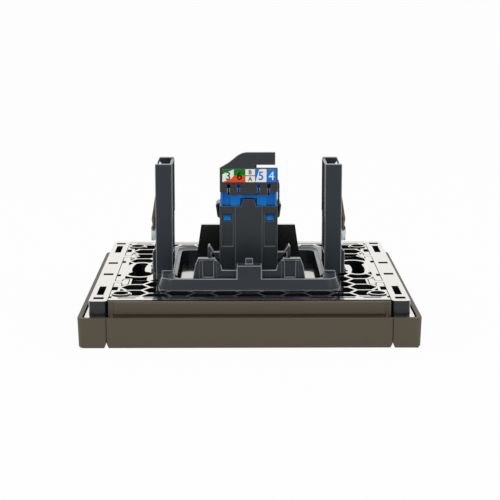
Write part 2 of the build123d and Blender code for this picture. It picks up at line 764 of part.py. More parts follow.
        # Hook behind the latch with its barb towards the jack
        with BuildSketch(Plane.XZ.offset(hook_y - hook_depth / 2)):
            with Locations((side * hook_x, 0)):
                Polygon(
                    (side * hook_width / 2, plate_back),
                    (side * hook_width / 2, hook_top - 0.3),
                    (side * 0.1, hook_top),
                    (-side * 0.3, hook_top - 0.4),
                    (-side * hook_barb_reach, hook_barb),
                    (-side * hook_width / 2, hook_barb),
                    (-side * hook_width / 2, plate_back),
                    align=None)
        extrude(amount=hook_depth)
    # Cross rib behind the beam, the bridge between the latch pads, the centre block and its stub
    with BuildSketch(Plane.XY.offset(plate_back - 1.6)):
        with Locations((0, -lip_inner_y + 0.9)):
            Rectangle(2 * latch_x + latch_base_width, 2.6)
    extrude(amount=cross_rib_top - plate_back + 1.6)
    with BuildSketch(Plane.XY.offset(plate_back)):
        with Locations((0, -latch_y - latch_wall / 2 + bridge_thickness / 2)):
            Rectangle(2 * latch_inner[1], bridge_thickness)
    extrude(amount=bridge_top - plate_back)
    with BuildSketch(Plane.XY.offset(cross_rib_top - 0.5)):
        with Locations((0, -latch_y - latch_wall / 2)):
            Rectangle(2 * centre_block_half, 2 * centre_block_depth)
    extrude(amount=centre_block_top - cross_rib_top + 0.5)
    with BuildSketch(Plane.XY.offset(centre_block_top)):
        with Locations((0, -latch_y)):
            Rectangle(2 * centre_stub_half, 1.2)
    extrude(amount=centre_stub_top - centre_block_top)
mechanism_frame.part.label = "mechanism_frame"
export_step(mechanism_frame.part, "parts/mechanism_frame.step")


# Port carrier: the black floor inside the ring, with the opening for the jack and the
# hollow hood behind it.
with BuildPart() as port_carrier:
    floor_bottom = floor_top - floor_thickness
    with BuildSketch(Plane.XY.offset(floor_bottom)):
        with Locations((0, lip_mid)):
            RectangleRounded(
                2 * (lip_inner_x - carrier_gap), lip_inner_y + lip_far_y - 2 * carrier_gap, lip_corner)
    extrude(amount=floor_thickness)
    hood_slope = math.degrees(math.atan2(2 * (hood_top - floor_bottom), hood_base_width - hood_top_width))
    with BuildSketch(Plane.XZ.offset(-hood_far)):
        with Locations((0, floor_bottom)):
            Trapezoid(hood_base_width, hood_top - floor_bottom, hood_slope, align=(Align.CENTER, Align.MIN))
    extrude(amount=hood_far - hood_near)
    # The roof slopes down behind the upright near wall
    with BuildSketch(Plane.YZ):
        with BuildLine():
            Polyline((hood_near + hood_roof, hood_top + 1), (hood_near + hood_roof, hood_top),
                     (hood_far, floor_top + 2.6), (hood_far + 1, floor_top + 2.6),
                     (hood_far + 1, hood_top + 1), close=True)
        make_face()
    extrude(amount=hood_base_width, both=True, mode=Mode.SUBTRACT)
    # Hollow from the front
    with BuildSketch(Plane.YZ):
        with BuildLine():
            Polyline((hood_near + hood_wall, floor_bottom - 1), (hood_near + hood_wall, hood_top - 2.6),
                     (hood_far - hood_wall, floor_top + 1.2),
                     (hood_far - hood_wall, floor_bottom - 1), close=True)
        make_face()
    extrude(amount=hood_top_width / 2 - hood_wall, both=True, mode=Mode.SUBTRACT)
    with BuildSketch(Plane.XY.offset(floor_bottom)):
        with Locations((0, (jack_far - jack_near) / 2)):
            Rectangle(2 * (jack_half_x + fit_gap), jack_near + jack_far + 2 * fit_gap)
        with Locations((0, -jack_near)):
            Rectangle(2 * (panel_half + fit_gap), 2 * (panel_proud + fit_gap))
        # Clear of the feet of the latches
        for side, name in sides:
            with Locations((side * latch_x, -lip_inner_y + 1.0)):
                Rectangle(latch_base_width + 1.0, 1.0)
    extrude(amount=floor_thickness, mode=Mode.SUBTRACT)
port_carrier.part.label = "port_carrier"
export_step(port_carrier.part, "parts/port_carrier.step")


# Claws: each side has a screw with its head at the front, a tapped lug on it, and a bent
# steel leaf that stands on the lug and swings out.
for side, name in sides:
    head_bottom = plate_bottom - 0.3
    with BuildPart() as claw_screw:
        with Locations((side * screw_x, 0, head_bottom)):
            Cylinder(screw_head_radius, screw_head_height, align=(Align.CENTER, Align.CENTER, Align.MIN))
            Cylinder(screw_radius, screw_top - head_bottom, align=(Align.CENTER, Align.CENTER, Align.MIN))
        chamfer(claw_screw.edges().group_by(Axis.Z)[-1], 0.4)
        with Locations((side * screw_x, 0, head_bottom)):
            Box(2 * screw_head_radius, screw_slot[0], 2 * screw_slot[1], mode=Mode.SUBTRACT)
    claw_screw.part.label = "claw_screw_" + name
    export_step(claw_screw.part, "parts/claw_screw_" + name + ".step")

    with BuildPart() as claw_nut:
        with BuildSketch(Plane.XY.offset(nut_bottom)):
            with Locations((side * (nut_inner + nut_outer) / 2, 0)):
                RectangleRounded(nut_outer - nut_inner, 2 * nut_half_y, 0.5)
            with Locations((side * screw_x, 0)):
                Circle(screw_radius + screw_gap, mode=Mode.SUBTRACT)
        extrude(amount=nut_height)
        # Saddle groove across the outer half, where the leaf's rolled foot sits
        with Locations((side * nut_saddle_x, 0, nut_top)):
            Cylinder(nut_saddle_radius, 2 * nut_half_y, rotation=(90, 0, 0), mode=Mode.SUBTRACT)
    claw_nut.part.label = "claw_nut_" + name
    export_step(claw_nut.part, "parts/claw_nut_" + name + ".step")

    with BuildPart() as claw:
        with BuildSketch(Plane.XZ):
            with BuildLine():
                FilletPolyline(
                    (side * (claw_foot_x - 0.05), claw_foot_z),
                    (side * (claw_bulge_x - claw_thickness / 2), claw_bulge_z),
                    (side * (claw_shoulder_x - claw_thickness / 2), claw_shoulder_z),
                    (side * (claw_neck_x - claw_thickness / 2), claw_neck_z),
                    (side * (claw_tip_x - claw_thickness / 2), claw_tip_z),
                    radius=0.7)
            trace(line_width=claw_thickness)
        extrude(amount=claw_half_y, both=True)
        with Locations((side * claw_foot_x, 0, claw_foot_z)):
            Cylinder(claw_foot_radius, 2 * nut_half_y - 0.4, rotation=(90, 0, 0))
        # Teeth along the top edge
        with BuildSketch(Plane.YZ.offset(side * claw_tip_x)):
            with GridLocations(tooth_pitch, 0, 5, 1):
                with Locations((0, claw_tip_z + claw_thickness / 2)):
                    Polygon((-tooth_pitch / 2, 0.3), (tooth_pitch / 2, 0.3), (0, -tooth_depth), align=None)
        extrude(amount=2.0, both=True, mode=Mode.SUBTRACT)
    claw.part.label = "claw_" + name
    export_step(claw.part, "parts/claw_" + name + ".step")


# Jack body: the port at the front, a chamber behind it, and on the outside the centre
# panel, channels with windows, ledges, ears and the arm that holds the cap.
with BuildPart() as jack_body:
    jack_mid = (jack_far - jack_near) / 2
    with BuildSketch(Plane.XY.offset(jack_bottom)):
        with Locations((0, jack_mid)):
            Rectangle(2 * jack_half_x, jack_near + jack_far)
    extrude(amount=jack_top - jack_bottom)
    with BuildSketch(Plane.XY.offset(jack_bottom)):
        with Locations((0, -jack_near)):
            Rectangle(2 * panel_half, 2 * panel_proud)
    extrude(amount=jack_top - jack_bottom)
    with BuildSketch(Plane.XZ.offset(jack_near - chamber_wall + 0.1)):
        with BuildLine():
            Polyline((-tongue_base_width / 2, jack_top - 0.5), (-tongue_base_width / 2, jack_top + 0.35),
                     (-tongue_top_width / 2, tongue_top_z), (tongue_top_width / 2, tongue_top_z),
                     (tongue_base_width / 2, jack_top + 0.35),
                     (tongue_base_width / 2, jack_top - 0.5), close=True)
        make_face()
    extrude(amount=-0.05 + chamber_wall + panel_proud - 0.05)
    # Channels beside the panel
    with BuildSketch(Plane.XY.offset(channel_bottom)):
        with GridLocations(2 * channel_x, 0, 2, 1):
            with Locations((0, -jack_near)):
                Rectangle(channel_width, 2 * channel_depth)
    extrude(amount=jack_window_z + 1.4 - channel_bottom, mode=Mode.SUBTRACT)
    # Port, its latch slot, and the chamber open to the back
    with BuildSketch(Plane.XY.offset(jack_bottom)):
        with Locations((0, port_y)):
            Rectangle(port_width, port_height)
        with Locations((0, port_near - latch_slot[1] / 2)):
            Rectangle(latch_slot[0], latch_slot[1] + 0.02)
        with Locations((0, port_near - latch_slot[1] - latch_key[1] / 2)):
            Rectangle(latch_key[0], latch_key[1] + 0.02)
    extrude(amount=port_depth, mode=Mode.SUBTRACT)
    with BuildSketch(Plane.XY.offset(chamber_bottom)):
        with Locations((0, jack_mid)):
            Rectangle(2 * (jack_half_x - chamber_wall), jack_near + jack_far - 2 * chamber_wall)
    extrude(amount=jack_top, mode=Mode.SUBTRACT)
    # Seat of the comb beside the port, and the gap that the wires bend through
    with BuildSketch(Plane.XY.offset(comb_bottom - wire_nose_drop)):
        with Locations((0, (port_far + comb_near) / 2 + wire_radius)):
            Rectangle(contact_count * contact_pitch + 0.2, comb_near - port_far + 2 * wire_radius + 0.6)
    extrude(amount=chamber_bottom - comb_bottom, mode=Mode.SUBTRACT)
    with BuildSketch(Plane.XY.offset(comb_bottom)):
        with Locations((0, (port_far + comb_far) / 2 - 0.2)):
            Rectangle(comb_width + 2 * fit_gap, comb_far - port_far + 0.4 + 2 * fit_gap)
    extrude(amount=chamber_bottom - comb_bottom, mode=Mode.SUBTRACT)
    # Windows for the wedge tabs of the contact block, near and far
    with BuildSketch(Plane.XZ):
        with GridLocations(2 * jack_window_x, 0, 2, 1):
            with Locations((0, jack_window_z)):
                Rectangle(*jack_window)
    extrude(amount=2 * jack_near, both=True, mode=Mode.SUBTRACT)
    # Ledges that the hooks hold, and the ears
    for side, name in sides:
        with BuildSketch(Plane.XZ.offset(jack_near - ledge_length)):
            Polygon(
                (side * (jack_half_x - 0.3), ledge_z[0]),
                (side * (jack_half_x + 0.6), ledge_z[0]),
                (side * ledge_tip, ledge_z[1] - 0.2),
                (side * ledge_tip, ledge_z[1]),
                (side * (jack_half_x - 0.3), ledge_z[1]),
                align=None)
        extrude(amount=ledge_length - 0.3)
        with BuildSketch(Plane.XZ.offset(-3.0)):
            with BuildLine():
                Polyline((side * (jack_half_x - 0.2), ear_z[1]), (side * (ear_tip - 0.5), ear_z[1]),
                         (side * ear_tip, ear_z[1] - 0.6), (side * (ear_tip - 0.45), ear_z[0]),
                         (side * (jack_half_x - 0.2), ear_z[0] - 0.5), close=True)
            make_face()
        extrude(amount=6.0)
        with BuildSketch(Plane.XZ.offset(3.0 - ear_recess)):
            with BuildLine():
                Polyline((side * (jack_half_x + 0.02), ear_z[1] - ear_wall),
                         (side * (ear_tip - 0.5 - ear_wall / 2), ear_z[1] - ear_wall),
                         (side * (ear_tip - ear_wall), ear_z[1] - 1.0),
                         (side * (ear_tip - 0.4 - ear_wall), ear_z[0] + 0.5),
                         (side * (jack_half_x + 0.02), ear_z[0] + 0.2), close=True)
            make_face()
        extrude(amount=ear_recess, mode=Mode.SUBTRACT)
    with BuildSketch(Plane.XZ.offset(-arm_half_y)):
        with BuildLine():
            Polyline((arm_x[0], ear_z[1] - 0.3), (arm_x[0], arm_top - 0.5), (arm_x[0] + 0.1, arm_top),
                     (arm_x[1] - 0.1, arm_top), (arm_x[1], arm_top - 0.6),
                     (arm_x[1], ear_z[1] - 0.3), close=True)
        make_face()
    extrude(amount=2 * arm_half_y)
jack_body.part.label = "jack_body"
export_step(jack_body.part, "parts/jack_body.step")


# Contact comb: the insert with a groove for each wire.
with BuildPart() as contact_comb:
    with BuildSketch(Plane.XY.offset(comb_bottom)):
        with Locations((0, (comb_near + comb_far) / 2)):
            Rectangle(comb_width, comb_thickness)
    extrude(amount=board_bottom - comb_bottom)
    with BuildSketch(Plane.XY.offset(comb_bottom)):
        for contact_x in contact_xs:
            with Locations((contact_x, comb_near)):
                Rectangle(2 * wire_radius + 0.16, 2 * (2 * wire_radius + 0.1))
    extrude(amount=board_bottom - comb_bottom, mode=Mode.SUBTRACT)
contact_comb.part.label = "contact_comb"
export_step(contact_comb.part, "parts/contact_comb.step")


# Jack contacts: eight spring wires, from the board down the comb, round the nose and
# back up into the port.
with BuildPart() as jack_contacts:
    for contact_x in contact_xs:
        wire_y = comb_near + wire_radius + 0.02
        with BuildLine(Plane.YZ.offset(contact_x)) as contact_path:
            FilletPolyline((wire_y, board_bottom), (wire_y, comb_bottom - 1.2),
                           (port_far - 0.3, comb_bottom - 1.6), (port_y + 1.9, 15.6), radius=0.5)
        with BuildSketch(Plane(origin=contact_path.line @ 0, z_dir=contact_path.line % 0)):
            Circle(wire_radius)
        sweep(path=contact_path.line)
jack_contacts.part.label = "jack_contacts"
export_step(jack_contacts.part, "parts/jack_contacts.step")


# Circuit board on top of the comb.
with BuildPart() as circuit_board:
    with BuildSketch(Plane.XY.offset(board_bottom)):
        with Locations((0, jack_mid)):
            Rectangle(
                2 * (jack_half_x - chamber_wall - board_gap),
                jack_near + jack_far - 2 * (chamber_wall + board_gap))
    extrude(amount=board_thickness)
circuit_board.part.label = "circuit_board"
export_step(circuit_board.part, "parts/circuit_board.step")

blade_places = [
    (end_x * place_x, end_y * blade_y + jack_mid)
    for end_y in (-1, 1)
    for end_x in (-1, 1)
    for place_x in blade_x
]


# Cutting contacts: eight flat blades on the board, slotted from the top.
with BuildPart() as idc_contacts:
    with BuildSketch(Plane.XY.offset(board_top)):
        with Locations(*blade_places):
            Rectangle(blade_width, blade_thickness)
    extrude(amount=blade_top - board_top)
    with BuildSketch(Plane.XY.offset(blade_top - 3.0)):
        with Locations(*blade_places):
            Rectangle(blade_slot, 2 * blade_thickness)
    extrude(amount=3.0, mode=Mode.SUBTRACT)
idc_contacts.part.label = "idc_contacts"
export_step(idc_contacts.part, "parts/idc_contacts.step")


# Contact block: the blue block that holds the blades, with a slot for each wire, a
# channel for the cable and the wedge tabs that snap into the jack body.
with BuildPart() as contact_block:
    with BuildSketch(Plane.XY.offset(jack_top)):
        with Locations((0, (block_far - block_near) / 2)):
            Rectangle(2 * block_half_x, block_near + block_far)
    extrude(amount=block_top - jack_top)
    with BuildSketch(Plane.XY.offset(block_bottom)):
        with Locations((0, jack_mid)):
            Rectangle(
                2 * (jack_half_x - chamber_wall - board_gap),
                jack_near + jack_far - 2 * (chamber_wall + board_gap))
    extrude(amount=jack_top - block_bottom)
    with BuildSketch(Plane.XY.offset(block_bottom)):
        with Locations((0, jack_mid)):
            Rectangle(2 * block_core[0] - 5.6, 2 * block_core[1] - 3.6)
    extrude(amount=block_top, mode=Mode.SUBTRACT)
    # Relief of the near and far faces between the ribs
    for face_y in (-block_near, block_far):
        with BuildSketch(Plane.XY.offset(jack_top)):
            with Locations((0, face_y)):
                with GridLocations(2 * block_column[0], 0, 2, 1):
                    Rectangle(block_column[1], 2 * block_column[2])
        extrude(amount=block_top, mode=Mode.SUBTRACT)
        with BuildSketch(Plane.XY.offset(block_step_z)):
            with Locations((0, face_y)):
                Rectangle(2 * block_centre_half, block_column[2])
        extrude(amount=block_top, mode=Mode.SUBTRACT)
    # The near face makes room for the tongue of the jack body
    with BuildSketch(Plane.XY.offset(jack_top)):
        with Locations((0, -block_near)):
            Rectangle(tongue_base_width + 0.6, 2 * (block_near - jack_near + chamber_wall + 0.2))
    extrude(amount=tongue_top_z - jack_top + 0.3, mode=Mode.SUBTRACT)
    # Wire slots across each blade, and the pocket of each blade
    with BuildSketch(Plane.XY.offset(block_top - wire_slot_depth)):
        for place_x, place_y in blade_places:
            outward = math.copysign(1, place_y - jack_mid)
            with Locations((place_x, place_y + outward * 0.6)):
                Rectangle(wire_slot_width, 5.4)
    extrude(amount=wire_slot_depth, mode=Mode.SUBTRACT)
    with BuildSketch(Plane.XY.offset(block_bottom)):
        with Locations(*blade_places):
            Rectangle(blade_width + 0.2, blade_thickness + 0.2)
    extrude(amount=blade_top + 0.3 - block_bottom, mode=Mode.SUBTRACT)
    # Wedge tabs
    for end in (-1, 1):
        tab_root = jack_mid + end * ((jack_near + jack_far) / 2 - chamber_wall - board_gap)
        tab_out = chamber_wall + board_gap - channel_depth - 0.1
        with BuildSketch(Plane.YZ, mode=Mode.PRIVATE) as tab_profile:
            with Locations((tab_root, jack_window_z)):
                Polygon(
                    (-end * 0.2, 0.7),
                    (end * 0.25, 0.7),
                    (end * tab_out, -0.6),
                    (end * tab_out, -0.75),
                    (-end * 0.2, -0.75),
                    align=None)
        for tab_x in (-jack_window_x, jack_window_x):
            tab_place = Location((tab_x, 0, 0))
            extrude(tab_profile.sketch.moved(tab_place), amount=jack_window[0] / 2 - wedge_gap, both=True)
contact_block.part.label = "contact_block"
export_step(contact_block.part, "parts/contact_block.step")


# Wire cap: presses the wires into the blades. Its near wall carries the label and rises
# into the sloped fin and its arm.
with BuildPart() as wire_cap:
    cap_mid = (cap_far - cap_near) / 2
    with BuildSketch(Plane.XY.offset(cap_floor[0])):
        with Locations((0, cap_mid)):
            Rectangle(2 * cap_half_x, cap_near + cap_far)
            Rectangle(7.6, 10.4, mode=Mode.SUBTRACT)
    extrude(amount=cap_floor[1] - cap_floor[0])
    with BuildSketch(Plane.XZ.offset(cap_near - cap_wall)):
        with BuildLine():
            Line((-cap_half_x, cap_finger_bottom), (cap_half_x, cap_finger_bottom))
            Line((cap_half_x, cap_finger_bottom), (cap_half_x, cap_label_top))
            Line((cap_half_x, cap_label_top), (cap_arm_left, cap_label_top))
            Line((cap_arm_left, cap_label_top), (cap_arm_left, cap_arm_bottom))
            Line((cap_arm_left, cap_arm_bottom), (cap_fin_right, cap_arm_bottom))
            Line((cap_fin_right, cap_arm_bottom), (cap_fin_right, cap_fin_top))
            fin_points = [(x, cap_fin_top - drop) for x, drop in cap_fin_curve]
            Line((cap_fin_right, cap_fin_top), fin_points[0])
            Spline(*fin_points, (-cap_half_x, cap_label_top), tangents=((-1, 0), (-0.84, -0.5)))
            Line((-cap_half_x, cap_label_top), (-cap_half_x, cap_finger_bottom))
        make_face()
    extrude(amount=cap_wall)
    # Blind notch at the root of the arm
    with BuildSketch(Plane.XZ.offset(cap_near - cap_notch[1])):
        with Locations((cap_arm_left - cap_notch[0] / 2, cap_label_top + cap_arm_gap / 2)):
            Rectangle(cap_notch[0] + 0.02, cap_arm_gap)
    extrude(amount=cap_wall, mode=Mode.SUBTRACT)
    with BuildSketch(Plane.XZ.offset(-cap_far)):
        with Locations((0, (cap_far_bottom + cap_floor[1]) / 2)):
            Rectangle(2 * cap_half_x, cap_floor[1] - cap_far_bottom)
    extrude(amount=cap_wall)
    # Keyhole shaped slots between the fingers, over each blade
    for wall_sign, slot_bottom in ((1, cap_finger_bottom), (-1, cap_far_bottom)):
        with BuildSketch(Plane.XZ):
            for place_x in blade_x:
                with Locations((place_x, slot_bottom), (-place_x, slot_bottom)):
                    Rectangle(cap_slot_width, cap_slot_height - 0.6, align=(Align.CENTER, Align.MIN))
                eye_z = slot_bottom + cap_slot_height - 0.9
                with Locations((place_x, eye_z), (-place_x, eye_z)):
                    Ellipse(*cap_slot_eye)
            outer_finger = cap_half_x - blade_x[1] - cap_slot_width / 2 + 0.1
            outer_x = cap_half_x - outer_finger / 2 + 0.1
            with Locations((outer_x, slot_bottom), (-outer_x, slot_bottom)):
                Rectangle(outer_finger + 0.2, 2 * cap_outer_finger_rise)
        extrude(amount=wall_sign * (cap_near + 1.0), mode=Mode.SUBTRACT)
        finger_edges = wire_cap.edges().filter_by(Axis.Y).filter_by(
            lambda edge: abs(edge.center().Z - slot_bottom) < 0.01)
        fillet(finger_edges, 0.3)
wire_cap.part.label = "wire_cap"
export_step(wire_cap.part, "parts/wire_cap.step")


# Wiring labels: thin printed strips on the near and far walls of the cap.
with BuildPart() as wiring_label:
    with BuildSketch(Plane.XZ.offset(cap_near)):
        with Locations(((label_left + label_right) / 2, sum(label_near_z) / 2)):
            Rectangle(label_right - label_left, label_near_z[1] - label_near_z[0])
    extrude(amount=label_thickness)
wiring_label.part.label = "wiring_label"
export_step(wiring_label.part, "parts/wiring_label.step")

with BuildPart() as wiring_label_rear:
    with BuildSketch(Plane.XZ.offset(-cap_far - label_thickness)):
        with Locations((-(label_left + label_right) / 2, sum(label_far_z) / 2)):
            Rectangle(label_right - label_left, label_far_z[1] - label_far_z[0])
    extrude(amount=label_thickness)
wiring_label_rear.part.label = "wiring_label_rear"
export_step(wiring_label_rear.part, "parts/wiring_label_rear.step")
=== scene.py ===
import math

import bmesh
import bpy
import numpy as np
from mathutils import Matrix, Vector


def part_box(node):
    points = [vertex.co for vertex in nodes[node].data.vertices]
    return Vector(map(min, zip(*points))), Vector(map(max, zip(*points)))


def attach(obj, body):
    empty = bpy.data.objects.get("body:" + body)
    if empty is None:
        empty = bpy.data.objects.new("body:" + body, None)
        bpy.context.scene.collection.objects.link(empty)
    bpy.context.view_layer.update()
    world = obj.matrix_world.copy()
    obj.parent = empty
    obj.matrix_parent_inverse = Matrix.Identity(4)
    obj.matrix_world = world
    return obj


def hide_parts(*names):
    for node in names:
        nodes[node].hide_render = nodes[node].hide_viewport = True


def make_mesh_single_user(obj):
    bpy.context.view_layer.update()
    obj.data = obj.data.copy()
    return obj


MM = 0.001

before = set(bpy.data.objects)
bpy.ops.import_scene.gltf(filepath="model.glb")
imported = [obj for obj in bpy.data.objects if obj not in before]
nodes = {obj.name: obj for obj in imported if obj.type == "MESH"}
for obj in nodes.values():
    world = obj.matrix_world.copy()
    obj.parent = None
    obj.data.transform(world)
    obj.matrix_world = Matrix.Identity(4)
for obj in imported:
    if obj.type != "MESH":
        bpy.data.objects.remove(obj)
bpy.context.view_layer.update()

# Camera, fitted to the corners of the cover and the plate in the photograph
CAMERA_PITCH = math.radians(11.03)
CAMERA_YAW = math.radians(0.495)
CAMERA_DISTANCE = 395.58 * MM
CAMERA_TARGET = (0.428 * MM, 0.0, 16.483 * MM)
FOCAL_PIXELS = 1448.6
FRAME_PIXELS = 500
SENSOR_WIDTH = 36.0

# Edge rounding: corners closer than the gap are one, faces that meet at less than a flat's
# bend are one flat, and edges that bend by more than a sharp one's are rounded. A rounding
# takes at most its share of the shortest bent edge beside it, and never less than the least
# weight of its full width. A face whose normal has this much along X is a side face, and
# the side material is the third on its mesh, after the plain and the edge one
DOUBLES_GAP = 0.002 * MM
FLAT_BEND = math.radians(0.6)
CORNER_BEND = math.radians(10)
SHARP_BEND = math.radians(35)
ROOM_SHARE = 0.45
LEAST_WEIGHT = 0.12
ALONG_X = 0.97
SIDE_MATERIAL = 2

# Wiring labels: where the cells end along the label, how far the layers of ink stand apart,
# the layer of the signs, how much bolder the dark signs are drawn than the built-in face,
# how narrow all are, and half the width of a line between cells as a share of the label
CELL_EDGES = np.array([0.0, 0.2115, 0.422, 0.6085, 0.817, 1.0])
INK_STEP = 0.012 * MM
SIGN_LAYER = 3
SIGN_STROKE = 0.014
SIGN_WIDTH = 0.95
HALF_LINE = 0.003

# Contact block's inner wall
WEB_HALF_SIZE = (3.5 * MM, 0.25 * MM, 2.8 * MM)
WEB_CENTRE = (0.0, 0.0, 33.2 * MM)

# Table: half its size, and how far it lies below the front face, so that the two never
# share a plane
FLOOR_HALF = 9.0
FLOOR_DROP = 0.05 * MM


def hex_linear(code):
    """sRGB hex colour as linear RGBA: the standard curve, worked out for each channel."""
    srgb = np.array([int(code[i:i + 2], 16) for i in (1, 3, 5)]) / 255.0
    linear = np.where(srgb <= 0.04045, srgb / 12.92, ((srgb + 0.055) / 1.055) ** 2.4)
    return (*linear.tolist(), 1.0)


def add_node(tree, kind, links=None, **settings):
    """One shader node of a kind, with its socket values or links and its own settings."""
    node = tree.nodes.new(kind)
    for name, value in settings.items():
        setattr(node, name, value)
    for socket, value in (links or {}).items():
        if isinstance(value, bpy.types.NodeSocket):
            tree.links.new(value, node.inputs[socket])
        else:
            node.inputs[socket].default_value = value
    return node


def start_material(name):
    """An empty node material with its output and the Object coordinates."""
    material = bpy.data.materials.new(name)
    material.use_nodes = True
    tree = material.node_tree
    tree.nodes.clear()
    output = add_node(tree, "ShaderNodeOutputMaterial")
    place = add_node(tree, "ShaderNodeTexCoord").outputs["Object"]
    return material, tree, output, place


def moulded_plastic(name, colour, shade, roughness, grain_mm, grain_depth_mm, ior=1.5, graze=0.0):
    """Injection moulded plastic: fine spark-eroded grain, a faint drift of colour and of
    gloss, as the mould surface gives it. Graze is how far a satin mirror takes over where
    the surface is seen at a low angle."""
    material, tree, output, place = start_material(name)
    drift = add_node(tree, "ShaderNodeTexNoise", {"Vector": place, "Scale": 1 / (14 * MM), "Detail": 3.0})
    grain = add_node(tree, "ShaderNodeTexNoise", {
        "Vector": place, "Scale": 1 / (grain_mm * MM), "Detail": 4.0})
    base = add_node(tree, "ShaderNodeMix", {
        "Factor": drift.outputs["Fac"], "A": hex_linear(colour), "B": hex_linear(shade)}, data_type="RGBA")
    gloss = add_node(tree, "ShaderNodeMapRange", {
        "Value": grain.outputs["Fac"], "To Min": roughness - 0.06, "To Max": roughness + 0.06})
    bump = add_node(tree, "ShaderNodeBump", {
        "Height": grain.outputs["Fac"], "Distance": grain_depth_mm * MM, "Strength": 0.6})
    body = add_node(tree, "ShaderNodeBsdfPrincipled", {
        "Base Color": base.outputs["Result"], "Roughness": gloss.outputs["Result"], "IOR": ior,
        "Normal": bump.outputs["Normal"]})
    surface = body.outputs["BSDF"]
    if graze:
        mirror = add_node(tree, "ShaderNodeBsdfAnisotropic", {
            "Color": (1.0, 1.0, 1.0, 1.0), "Roughness": 0.2, "Normal": bump.outputs["Normal"]})
        surface = graze_mix(tree, surface, mirror.outputs["BSDF"], 0.62, 0.9, graze)
    tree.links.new(surface, output.inputs["Surface"])
    return material


def graze_mix(tree, body, mirror, start, full, most):
    """The body shader, which a mirror takes over from one facing value to another."""
    facing = add_node(tree, "ShaderNodeLayerWeight", {"Blend": 0.5})
    grazing = add_node(tree, "ShaderNodeMapRange", {
        "Value": facing.outputs["Facing"], "From Min": start, "From Max": full,
        "To Min": 0.0, "To Max": most},
        interpolation_type="SMOOTHSTEP")
    mix = add_node(tree, "ShaderNodeMixShader", {0: grazing.outputs["Result"], 1: body, 2: mirror})
    return mix.outputs["Shader"]


def polished_black(name, sheen):
    """Glass-filled polyamide from a polished mould: deep black from above, a mirror for
    the pale surroundings at a low angle, with a slight wave in the reflections. Sheen is
    the colour that the mirror gives back."""
    material, tree, output, place = start_material(name)
    wave = add_node(tree, "ShaderNodeTexNoise", {"Vector": place, "Scale": 1 / (6 * MM), "Detail": 2.0})
    specks = add_node(tree, "ShaderNodeTexNoise", {"Vector": place, "Scale": 1 / (0.5 * MM), "Detail": 3.0})
    bump = add_node(tree, "ShaderNodeBump", {
        "Height": wave.outputs["Fac"], "Distance": 0.02 * MM, "Strength": 0.25})
    tone = add_node(tree, "ShaderNodeMix", {
        "Factor": specks.outputs["Fac"], "A": hex_linear("#08090a"), "B": hex_linear("#141619")},
        data_type="RGBA")
    body = add_node(tree, "ShaderNodeBsdfPrincipled", {
        "Base Color": tone.outputs["Result"], "Roughness": 0.3, "IOR": 1.5, "Normal": bump.outputs["Normal"]})
    mirror = add_node(tree, "ShaderNodeBsdfAnisotropic", {
        "Color": hex_linear(sheen), "Roughness": 0.07, "Normal": bump.outputs["Normal"]})
    surface = graze_mix(tree, body.outputs["BSDF"], mirror.outputs["BSDF"], 0.5, 0.8, 0.95)
    tree.links.new(surface, output.inputs["Surface"])
    return material


def plated_metal(name, colour, shade, roughness, grain_mm, depth_mm):
    """Zinc plated or drawn metal: a metal with a fine uneven finish and some duller spots."""
    material, tree, output, place = start_material(name)
    patch = add_node(tree, "ShaderNodeTexNoise", {"Vector": place, "Scale": 1 / (2.5 * MM), "Detail": 4.0})
    grain = add_node(tree, "ShaderNodeTexNoise", {
        "Vector": place, "Scale": 1 / (grain_mm * MM), "Detail": 3.0})
    base = add_node(tree, "ShaderNodeMix", {
        "Factor": patch.outputs["Fac"], "A": hex_linear(colour), "B": hex_linear(shade)}, data_type="RGBA")
    gloss = add_node(tree, "ShaderNodeMapRange", {
        "Value": patch.outputs["Fac"], "To Min": roughness - 0.08, "To Max": roughness + 0.12})
    bump = add_node(tree, "ShaderNodeBump", {
        "Height": grain.outputs["Fac"], "Distance": depth_mm * MM, "Strength": 0.5})
    shader = add_node(tree, "ShaderNodeBsdfPrincipled", {
        "Base Color": base.outputs["Result"], "Metallic": 1.0, "Roughness": gloss.outputs["Result"],
        "Normal": bump.outputs["Normal"]})
    tree.links.new(shader.outputs["BSDF"], output.inputs["Surface"])
    return material


# ABS with a fine eroded grain: a dull warm brown with no clear reflection
cover_plastic = moulded_plastic("cover_abs_fine_grain", "#4f4535", "#4b4232", 0.5, 0.22, 0.012)
shutter_plastic = moulded_plastic("shutter_abs_fine_grain", "#514737", "#4b4232", 0.45, 0.22, 0.01)
# Satin polyamide: blue-grey face on, pale along faces seen at a low angle, with painted highlights as light
# lines along its edges and painted shade in black on its side faces
bracket_plastic = moulded_plastic("bracket_polyamide_satin", "#232930", "#292f36", 0.34, 0.3, 0.01,
                                  ior=1.38, graze=0.25)
# Painted highlight: a pale colour on the rounded edges
bracket_painted_edge_highlight = moulded_plastic("bracket_polyamide_painted_edge_highlight", "#c6cace", "#43474d", 0.3, 0.3, 0.004)
# Painted shade: a darker colour on the side faces, those whose normal lies along X
bracket_painted_side_shade = moulded_plastic("bracket_polyamide_painted_side_shade", "#101215", "#16181b", 0.85, 0.3, 0.01, ior=1.12)
# Satin polycarbonate: neutral dark grey with faint painted highlights as light lines along its edges
jack_plastic = moulded_plastic("jack_polycarbonate_satin", "#282e32", "#2e3438", 0.34, 0.28, 0.01,
                               ior=1.38, graze=0.25)
# Painted highlight: a lighter grey on the rounded edges
jack_painted_edge_highlight = moulded_plastic("jack_polycarbonate_painted_edge_highlight", "#5f6366", "#35393c", 0.3, 0.3, 0.004)
# Dyed polycarbonate: deep clear blue with paler lines along its edges
block_plastic = moulded_plastic("block_polycarbonate_blue", "#0075d0", "#0082e0", 0.3, 0.4, 0.008,
                                ior=1.22, graze=0.15)
block_edge = moulded_plastic("block_polycarbonate_lit_edge", "#3f95e2", "#3389d8", 0.3, 0.4, 0.004)
# Liquid crystal polymer: flat black
dark_plastic = moulded_plastic("comb_lcp_black", "#101112", "#1a1b1d", 0.45, 0.3, 0.01)
